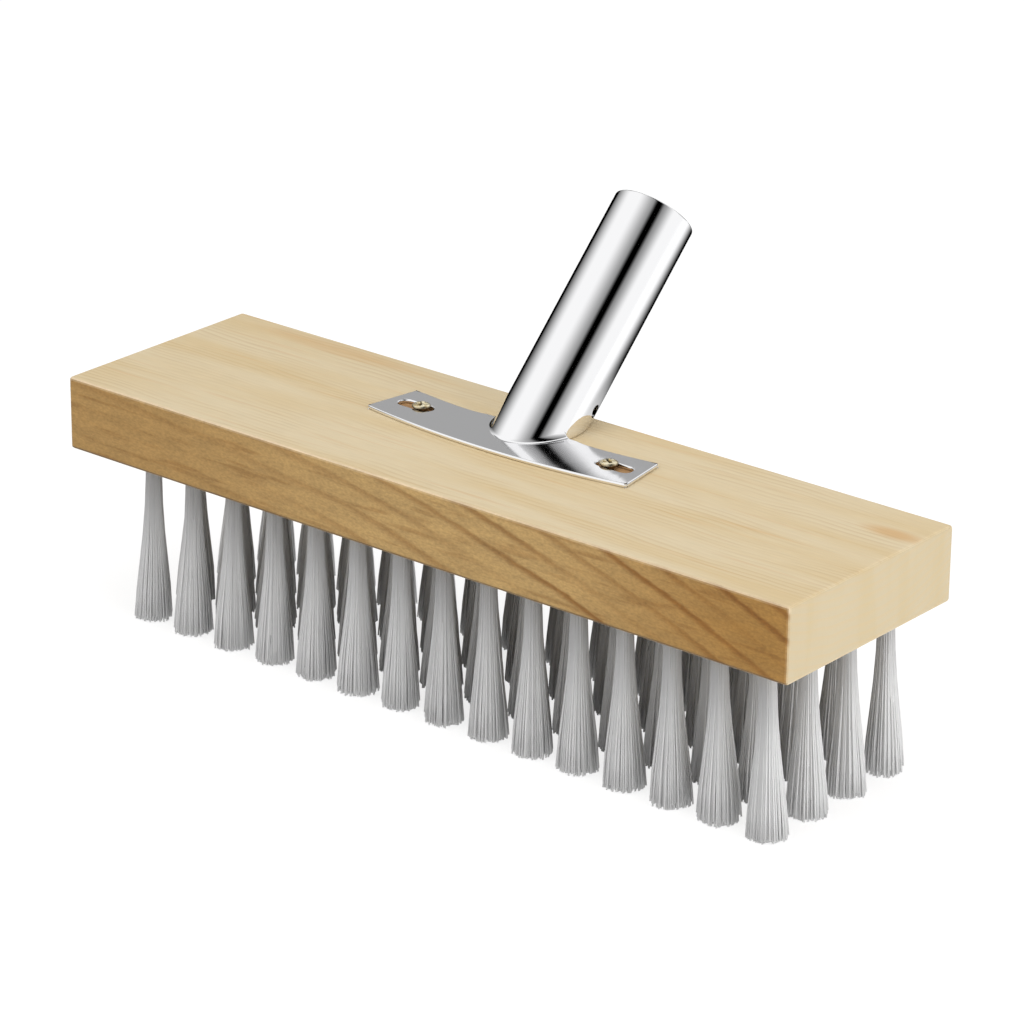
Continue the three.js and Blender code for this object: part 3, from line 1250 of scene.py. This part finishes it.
    def fold_arc(self, angle: float) -> list[Vector]:
        """Points of the fold from the tube down to the plate.

        Args:
            angle: Angle of the tube.

        Returns:
            The points after the first, which is on the tube.
        """
        ball = self.ball(angle)
        down = Vector((0.0, 0.0, -1.0))
        inward = self.on_tube(0.0, 0.0, angle) - self.on_tube(0.0, 1.0, angle)
        return [ball + inward.slerp(down, step / self.fold_steps) * self.fold_radius
                for step in range(1, self.fold_steps + 1)]

    def add_plate(self, bm: bmesh.types.BMesh, contact: list[bmesh.types.BMVert]) -> None:
        """Adds the plate's top with its two slots.

        Args:
            bm: Where the skin is made.
            contact: Points where the fold meets the plate, from +X to -X.
        """
        outline = [bm.verts.new((*point, self.sheet)) for point in self.plate_outline()]
        edges = self.add_loop(bm, contact + outline, known=len(contact))
        for side in (-1, 1):
            slot = [bm.verts.new((*point, self.sheet)) for point in self.slot_outline(side)]
            edges += self.add_loop(bm, slot)
        bmesh.ops.triangle_fill(bm, use_beauty=True, edges=edges, normal=(0.0, 0.0, 1.0))

    @staticmethod
    def add_loop(bm: bmesh.types.BMesh, verts: list[bmesh.types.BMVert],
                 known: int = 0) -> list[bmesh.types.BMEdge]:
        """Joins points into a closed loop.

        Args:
            bm: Where the skin is made.
            verts: The points in order.
            known: How many of the first points are joined already.

        Returns:
            The loop's edges.
        """
        edges = []
        for number, vert in enumerate(verts):
            pair = (vert, verts[(number + 1) % len(verts)])
            edges.append(bm.edges.get(pair) if number < known - 1 else bm.edges.new(pair))
        return edges

    def plate_outline(self) -> list[Vector]:
        """Edge of the plate.

        Returns:
            Points from the left side of the tube round the front to its right side.
        """
        half = self.plate_length / 2
        front_y = self.ear_front_y
        back = Vector((half - self.ear_taper, front_y + self.ear_depth))
        throat = Vector((self.radius + self.fold_radius + self.throat_margin, self.throat_y))
        bend = throat + Vector((self.throat_bend_length, -self.throat_bend_depth))
        front = Vector((half, front_y))
        bow = Vector((0.0, front_y - 2 * self.front_bow))
        arc = self.curve(Vector((-half, front_y)), bow, front, self.curve_steps)
        ear_back = self.curve(back, bend, throat, self.curve_steps)
        right = self.eased([*arc[len(arc) // 2:], *ear_back], (front, back))
        left = [Vector((-point.x, point.y)) for point in reversed(right)]
        return left + right[1:]

    @staticmethod
    def curve(start: Vector, pull: Vector, stop: Vector, steps: int) -> list[Vector]:
        """Curve between two points, drawn towards a third.

        Args:
            start: First point.
            pull: Point that draws the curve.
            stop: Last point.
            steps: Count of steps along it.

        Returns:
            Points of the curve.
        """
        shares = [step / steps for step in range(steps + 1)]
        return [start * (1 - t) ** 2 + pull * (2 * t * (1 - t)) + stop * t ** 2 for t in shares]

    def eased(self, points: list[Vector], corners: Sequence[Vector]) -> list[Vector]:
        """Rounds the corners of a line of points.

        Args:
            points: The line.
            corners: Those of its points that are corners.

        Returns:
            The line with a small curve at each corner.
        """
        line = points
        for corner in corners:
            near = [number for number, point in enumerate(line) if (point - corner).length < self.corner]
            before = line[near[0] - 1]
            after = line[near[-1] + 1]
            start = corner + (before - corner).normalized() * self.corner
            stop = corner + (after - corner).normalized() * self.corner
            bend = self.curve(start, corner, stop, self.corner_steps)
            line = line[:near[0]] + bend + line[near[-1] + 1:]
        return line

    def slot_outline(self, side: int) -> list[Pair]:
        """Edge of a slot.

        Args:
            side: -1 for the left slot and 1 for the right one.

        Returns:
            Points round the slot.
        """
        half = self.slot_width / 2
        reach = (self.slot_length - self.slot_width) / 2
        steps = self.curve_steps // 2
        points = []
        for end in (1, -1):
            for step in range(steps + 1):
                angle = math.pi * step / steps - end * math.pi / 2
                x = side * self.slot_x + end * reach + half * math.cos(angle)
                points.append((x, self.slot_y + half * math.sin(angle)))
        return points

    def pin_cutter(self) -> bpy.types.Mesh:
        """Makes the bar that cuts the pin hole through the right wall of the tube.

        Returns:
            Its mesh.
        """
        bm = bmesh.new()
        start = self.on_tube(self.pin_hole_along, self.bore / 4, self.pin_hole_turn)
        stop = self.on_tube(self.pin_hole_along, self.radius + self.bore / 4, self.pin_hole_turn)
        turn = (stop - start).to_track_quat("Z", "Y").to_matrix().to_4x4()
        matrix = Matrix.Translation(BLOCK_TOP + (start + stop) / 2) @ turn
        radius = self.pin_hole_diameter / 2
        bmesh.ops.create_cone(bm, cap_ends=True, segments=self.pin_hole_sides, radius1=radius, radius2=radius,
                              depth=(stop - start).length, matrix=matrix)
        return mesh_of(bm, "pin_cutter")


@dataclass
class Screws:
    """The two cross-recess screws that hold the socket."""

    socket: HandleSocket
    head_diameter: float = 0.0059
    head_height: float = 0.0014
    rim_height: float = 0.0004
    cone_depth: float = 0.0011
    shank_diameter: float = 0.0035
    length: float = 0.012
    point_length: float = 0.0035
    recess_length: float = 0.0042
    recess_width: float = 0.0013
    recess_depth: float = 0.0010
    recess_taper: float = 0.55
    dulling: float = 0.0001
    dulling_steps: int = 2
    dulling_angle: float = math.radians(40)
    sides: int = 40
    dome_steps: int = 7
    left_turn: float = math.radians(20)
    turn_between: float = math.radians(37)

    def build(self) -> bpy.types.Object:
        """Makes both screws.

        Returns:
            One object with the two screws.
        """
        socket = self.socket
        pair = NodeModel("screw_pair", {
            InputKind.PLACE: {"Middle": (0.0, BLOCK_TOP.y + socket.slot_y, BLOCK_TOP.z + socket.sheet)},
            InputKind.SIZE: {
                "Distance": 2 * socket.screw_x,
                "Left Turn": self.left_turn,
                "Turn Between": self.turn_between,
            },
            InputKind.FINISH: {"Finish": YellowPlate().material()},
        })
        graph = pair.graph
        places = graph.add("GeometryNodeMeshLine", {
            "Count": 2,
            "Start Location": graph.vector(pair["Distance"] * -0.5, 0.0, 0.0),
            "Offset": graph.vector(pair["Distance"], 0.0, 0.0),
        })[0]
        placed = graph.add("GeometryNodeTransform", {"Geometry": places, "Translation": pair["Middle"]})[0]
        number = graph.add("GeometryNodeInputIndex")["Index"]
        copies = graph.add("GeometryNodeInstanceOnPoints", {
            "Points": placed,
            "Instance": pair["Geometry"],
            "Rotation": graph.vector(0.0, 0.0, pair["Left Turn"] + number * pair["Turn Between"]),
        })[0]
        pair.end(copies)
        return pair.make("screws", self.one_screw())

    def one_screw(self) -> bpy.types.Mesh:
        """Makes one screw, with the plate's top at z = 0.

        Returns:
            Its mesh.
        """
        head = self.head_diameter / 2
        shank = self.shank_diameter / 2
        dome = self.head_height - self.rim_height
        profile = [(shank, self.point_length - self.length), (shank, -self.cone_depth)]
        for number in range(self.dome_steps):
            angle = math.pi / 2 * number / self.dome_steps
            profile.append((head * math.cos(angle), self.rim_height + dome * math.sin(angle)))
        bm = bmesh.new()
        columns = []
        for side in range(self.sides):
            angle = math.tau * side / self.sides
            columns.append([bm.verts.new((r * math.cos(angle), r * math.sin(angle), z)) for r, z in profile])
        columns.append(columns[0])
        add_strips(bm, columns)
        point = bm.verts.new((0.0, 0.0, -self.length))
        crown = bm.verts.new((0.0, 0.0, self.head_height))
        for left, right in zip(columns, columns[1:]):
            bm.faces.new((right[0], left[0], point))
            bm.faces.new((left[-1], right[-1], crown))
        for face in bm.faces:
            face.smooth = True
        body = new_object("screw_body", mesh_of(bm, "screw_body"))
        cut_by(body, self.recess_cutter())
        dulled = body.modifiers.new("dulled", "BEVEL")
        dulled.width = self.dulling
        dulled.segments = self.dulling_steps
        dulled.limit_method = "ANGLE"
        dulled.angle_limit = self.dulling_angle
        settle(body)
        mesh = body.data
        bpy.data.objects.remove(body)
        return mesh

    def recess_cutter(self) -> bpy.types.Mesh:
        """Makes the tapered cross that cuts the recess.

        Returns:
            Its mesh.
        """
        long = self.recess_length / 2
        short = self.recess_width / 2
        arm = [(long, -short), (long, short), (short, short)]
        outline = []
        for quarter in range(4):
            turn = Matrix.Rotation(quarter * math.pi / 2, 2)
            outline += [turn @ Vector(corner) for corner in arm]
        bm = bmesh.new()
        floor_z = self.head_height - self.recess_depth
        top_z = self.head_height + self.recess_depth
        low = [bm.verts.new((*(corner * self.recess_taper), floor_z)) for corner in outline]
        high = [bm.verts.new((*(corner * (2 - self.recess_taper)), top_z)) for corner in outline]
        bm.faces.new(reversed(low))
        bm.faces.new(high)
        walls = list(zip(low, high))
        add_strips(bm, walls + walls[:1])
        return mesh_of(bm, "recess_cutter")


@dataclass
class PhotoCamera:
    """Camera at the photograph's angle."""

    aim: Xyz = (0.00909, -0.02514, 0.06062)
    azimuth: float = math.radians(39.37)
    elevation: float = math.radians(22.10)
    roll: float = math.radians(0.57)
    distance: float = 1.335
    sensor: float = 36.0
    lens: float = 155.74

    def place(self) -> None:
        """Makes the camera and hands it to the scene."""
        flat = math.cos(self.elevation)
        aside = math.sin(self.azimuth) * flat
        forward = math.cos(self.azimuth) * flat
        back = Vector((aside, -forward, math.sin(self.elevation)))
        right = Vector((0.0, 0.0, 1.0)).cross(back).normalized()
        up = back.cross(right)
        turned_right = right * math.cos(self.roll) + up * math.sin(self.roll)
        turned_up = up * math.cos(self.roll) - right * math.sin(self.roll)
        data = bpy.data.cameras.new("photo_camera")
        data.sensor_width = self.sensor
        data.lens = self.lens
        camera = new_object("photo_camera", data)
        axes = Matrix((turned_right, turned_up, back)).transposed().to_4x4()
        camera.matrix_world = Matrix.Translation(Vector(self.aim) + back * self.distance) @ axes
        bpy.context.scene.camera = camera


@dataclass(frozen=True)
class Card:
    """Card beside the object that only metal mirrors, dark or grey, with soft edges."""

    name: str
    middle: Xyz
    facing: Xyz
    along: Xyz
    half: Pair
    tone: float = 0.0
    core: Pair = (0.9, 0.9)
    strength: float = 1.0

    def build(self) -> bpy.types.Object:
        """Makes the card.

        Returns:
            The card's object.
        """
        bm = bmesh.new()
        bmesh.ops.create_grid(bm, x_segments=1, y_segments=1, size=1.0)
        obj = new_object(self.name, mesh_of(bm, self.name))
        facing = Vector(self.facing).normalized()
        across = Vector(self.along).cross(facing).normalized()
        axes = Matrix((across, facing.cross(across), facing)).transposed().to_4x4()
        obj.matrix_world = Matrix.Translation(self.middle) @ axes @ Matrix.Diagonal((*self.half, 1.0, 1.0))
        obj.data.materials.append(self.material())
        for ray in ("camera", "diffuse", "transmission", "volume_scatter", "shadow"):
            setattr(obj, f"visible_{ray}", False)
        return obj

    def material(self) -> bpy.types.Material:
        """Makes the card's material.

        Returns:
            The material.
        """
        material, graph = new_material(self.name)
        x, y, _ = graph.object_place()
        cover = (1 - x.size().rise(self.core[0], 1.0)) * self.strength
        cover = cover * (1 - y.size().rise(self.core[1], 1.0))
        clear = graph.add("ShaderNodeBsdfTransparent")[0]
        shade = graph.add("ShaderNodeEmission", {"Color": (self.tone, self.tone, self.tone, 1.0)})[0]
        graph.end_mixed(cover, clear, shade)
        return material


@dataclass(frozen=True)
class SoftBox:
    """Large soft lamp aimed at the head."""

    name: str
    place: Xyz
    size: float
    watts: float

    def build(self) -> None:
        """Makes the lamp."""
        data = bpy.data.lights.new(self.name, "AREA")
        data.shape = "SQUARE"
        data.size = self.size
        data.energy = self.watts
        lamp = new_object(self.name, data)
        lamp.location = self.place
        lamp.rotation_euler = (Vector(self.place) - BLOCK_TOP).to_track_quat("Z", "Y").to_euler()
        lamp.visible_glossy = False


@dataclass
class Studio:
    """White studio: pale floor, soft lamps, and the cards that the plating mirrors."""

    ambient: float = 0.42
    floor_half: float = 4.0
    floor_drop: float = 0.0002
    floor_colour: Rgb = (0.30, 0.30, 0.30)
    floor_lift: float = 0.79
    far_lift: float = 0.09
    far: Pair = (0.5, 3.0)
    floor_glow: float = 0.67
    beside_ends: Pair = (0.110, 0.130)
    beside_rows: Pair = (0.016, 0.034)
    right_glow: float = 0.6
    right_end: Pair = (0.125, 0.175)
    lamps: tuple[SoftBox, ...] = (
        SoftBox("lamp_above", (0.1, -0.1, 1.7), 1.4, 11.3),
        SoftBox("lamp_right", (1.55, -0.27, 0.48), 1.2, 14.0),
        SoftBox("lamp_front", (-1.0, -1.40, 1.5), 2.0, 12.6),
    )
    cards: tuple[Card, ...] = (
        Card("card_stripe", (0.547, -0.134, 1.01), STRIPE_FACING, ALONG_STRIPE, (0.28, 1.2), core=(0.3, 0.9)),
        Card("card_shade", (0.590, -0.123, 1.05), STRIPE_FACING, ALONG_STRIPE, (1.19, 1.2), core=(0.0, 0.9),
             strength=0.82),
        Card("card_floor_behind", (-0.85, 0.9, 0.002), (0.0, 0.0, 1.0), ALONG_Y, (1.10, 0.78),
             core=(0.745, 0.9)),
        Card("card_low_left", (-1.4, 0.1, -0.3), ALONG_X, ALONG_Y, (1.7, 1.3), core=(0.1, 0.8)),
        Card("card_low_behind", (-0.95, 1.15, 0.0), (0.63, -0.77, 0.0), (0.77, 0.63, 0.0), (0.36, 0.8),
             core=(0.75, 0.9)),
        Card("card_backdrop", (-0.78, 0.92, 0.60), (0.588, -0.716, -0.376), (0.716, 0.588, 0.0), (0.30, 0.5),
             tone=0.39),
        Card("card_behind", (0.3, 1.4, 0.42), (0.0, -1.0, 0.0), ALONG_X, (0.38, 1.2), tone=0.42,
             core=(0.6, 0.5)),
        Card("card_high_behind", (-0.80, 0.65, 0.95), (0.62, -0.5, -0.6), (0.63, 0.78, 0.0), (0.2, 0.5),
             core=(0.2, 0.8), strength=0.7),
    )

    def build(self) -> None:
        """Sets up the view, world, floor, lamps and cards."""
        bpy.context.scene.view_settings.view_transform = "Standard"
        self.make_world()
        self.make_floor()
        for lamp in self.lamps:
            lamp.build()
        for card in self.cards:
            card.build()

    def make_world(self) -> None:
        """Makes the world: plain soft light, which camera and metal see as white."""
        world = bpy.data.worlds.new("white_studio")
        world.use_nodes = True
        bpy.context.scene.world = world
        graph = Graph(world.node_tree)
        strength = graph.seen_white() * (1 - self.ambient) + self.ambient
        sky = graph.add("ShaderNodeBackground", {"Color": (1.0, 1.0, 1.0, 1.0), "Strength": strength})[0]
        graph.add("ShaderNodeOutputWorld", {"Surface": sky})

    def make_floor(self) -> bpy.types.Object:
        """Makes the floor, which shows white with the head's soft shadow on it, and nothing from below.

        Returns:
            The floor's object.
        """
        bm = bmesh.new()
        bmesh.ops.create_grid(bm, x_segments=1, y_segments=1, size=self.floor_half)
        bm.transform(Matrix.Translation((0.0, 0.0, -self.floor_drop)))
        floor = new_object("floor", mesh_of(bm, "floor"))
        material, graph = new_material("pale_floor")
        x, y, _ = graph.object_place()
        seen = graph.seen_white()
        away = (x * x + y * y).sqrt().rise(*self.far)
        shown = seen * (away * self.far_lift + self.floor_lift)
        beside = x.size().rise(*self.beside_ends)
        beside = beside.at_least((y - BLOCK_TOP.y).size().rise(*self.beside_rows))
        thrown = (1 - seen) * beside * (x.rise(*self.right_end) * self.right_glow + self.floor_glow)
        glow = shown + thrown
        flat = graph.add("ShaderNodeBsdfDiffuse", {"Color": (*self.floor_colour, 1.0)})[0]
        lift = graph.add("ShaderNodeEmission", {"Color": graph.vector(glow, glow, glow)})[0]
        lit = graph.add("ShaderNodeAddShader", {0: flat, 1: lift})[0]
        below = graph.add("ShaderNodeNewGeometry")["Backfacing"]
        graph.end_mixed(below, lit, graph.add("ShaderNodeBsdfTransparent")[0])
        floor.data.materials.append(material)
        return floor


def hand_over(obj: bpy.types.Object, slot: str, *nodes: str) -> None:
    """Ties a finished piece to the frame and reports it.

    Args:
        obj: The piece.
        slot: Name of the piece's material slot; not used.
        nodes: The CAD nodes that it stands for.
    """
    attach(obj, "root")
    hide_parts(*nodes)
    LOG.info("%s: %d faces, for %s", obj.name, len(obj.data.polygons), ", ".join(nodes))


def main() -> None:
    """Builds the studio and the head's sub-assemblies in order."""
    logging.basicConfig(level=logging.INFO, format="%(message)s")
    PhotoCamera().place()
    Studio().build()

    tufts = TuftField()
    hand_over(Block(tufts).build(), "wood", "block")
    filament = GreyFilament().material()
    for row in range(tufts.rows):
        hand_over(BristleRow(tufts, row, filament).build(), "bristle", f"bristle_row_{row + 1}")
    socket = HandleSocket()
    hand_over(socket.build(), "plated_steel", "handle_socket")
    hand_over(Screws(socket).build(), "screw_brass", "screw_left", "screw_right")


if __name__ == "__main__":
    main()
